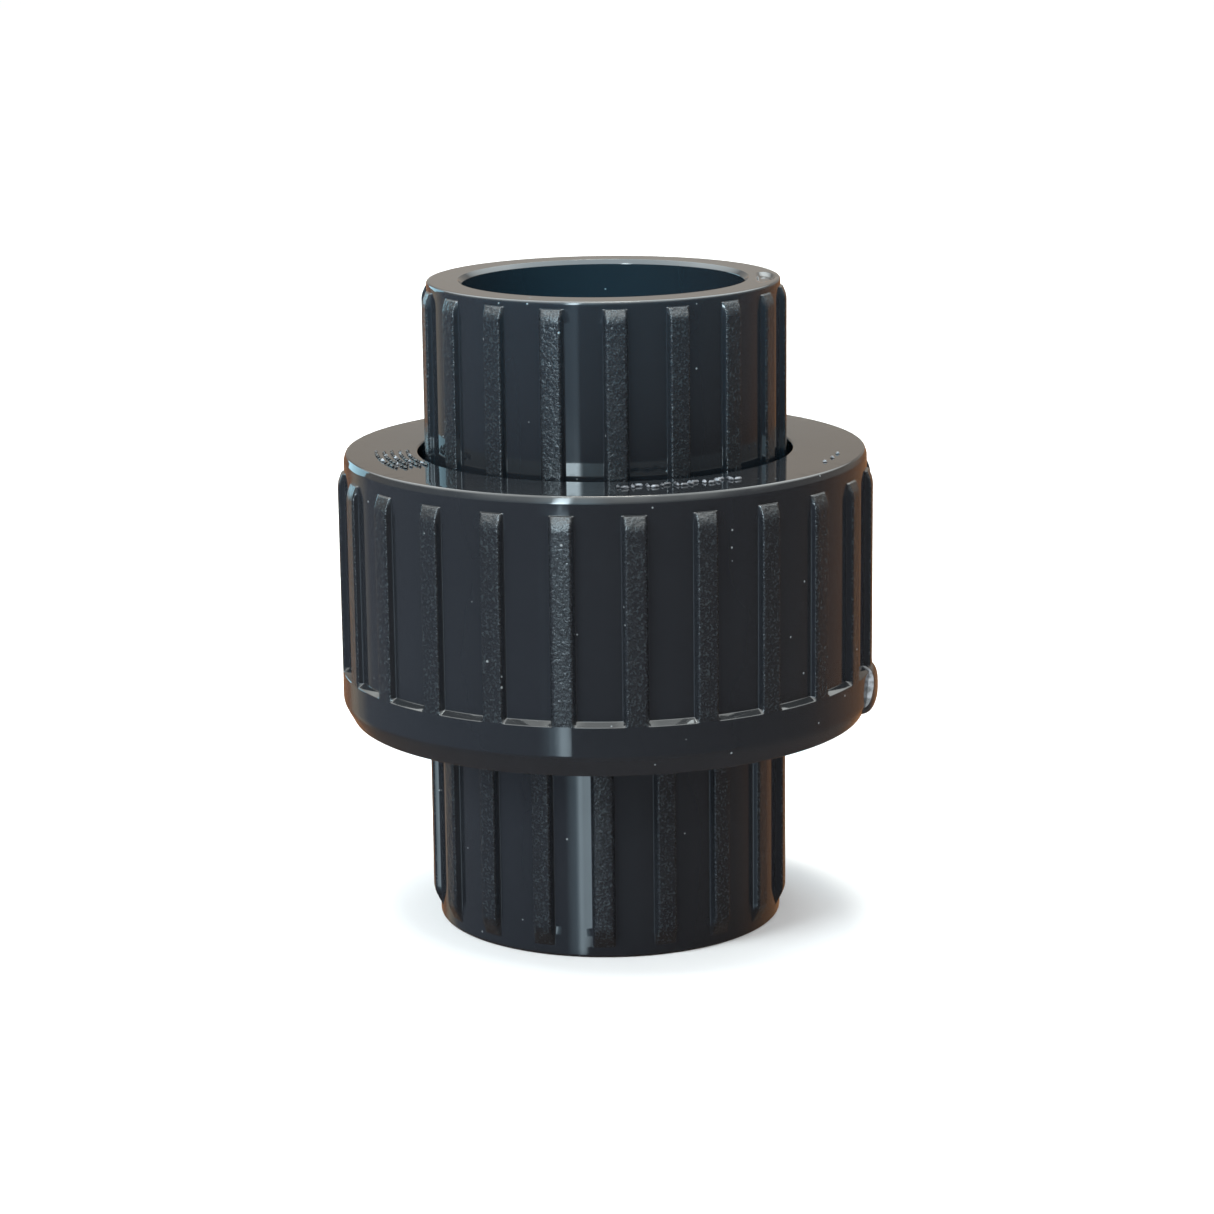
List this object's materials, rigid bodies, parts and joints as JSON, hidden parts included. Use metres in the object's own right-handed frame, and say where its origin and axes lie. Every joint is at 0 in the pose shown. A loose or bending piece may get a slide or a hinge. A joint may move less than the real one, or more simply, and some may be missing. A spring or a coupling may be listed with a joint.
{
  "type": "pipe union",
  "caption": "Plastic solvent-weld pipe union that joins two pipes end to end with a ribbed screw-down nut, so they can be taken apart.",
  "frame": {"origin": "on the axis at the lower socket's end face, which it stands on", "axes": "+Z along the pipe axis, from the threaded end to the union end"},
  "size_m": [0.0624, 0.0618, 0.0749],
  "materials": {
    "pipe_plastic": "glossy moulded PVC-U, dark blue-grey",
    "nut_plastic": "glossy moulded PVC-U, dark blue-grey, fine spark-eroded texture on the rib faces",
    "seal_rubber": "matt black EPDM"
  },
  "bodies": {
    "threaded_half": {"threaded_end": "pipe_plastic", "o_ring": "seal_rubber"},
    "union_half": {"union_end": "pipe_plastic"},
    "nut": {"union_nut": "nut_plastic"}
  },
  "joints": [
    {"name": "end_lift", "type": "slide", "parent": "threaded_half", "child": "union_half", "axis": [0, 0, 1], "range_m": [0, 0.018]},
    {"name": "nut_turn", "type": "hinge", "parent": "union_half", "child": "nut", "pos_m": [0, 0, 0.0397], "axis": [0, 0, 1], "range_deg": [0, 1620]}
  ],
  "couplings": [
    {"joint": "end_lift", "follows": "nut_turn", "m_per_rad": 0.00063662}
  ]
}
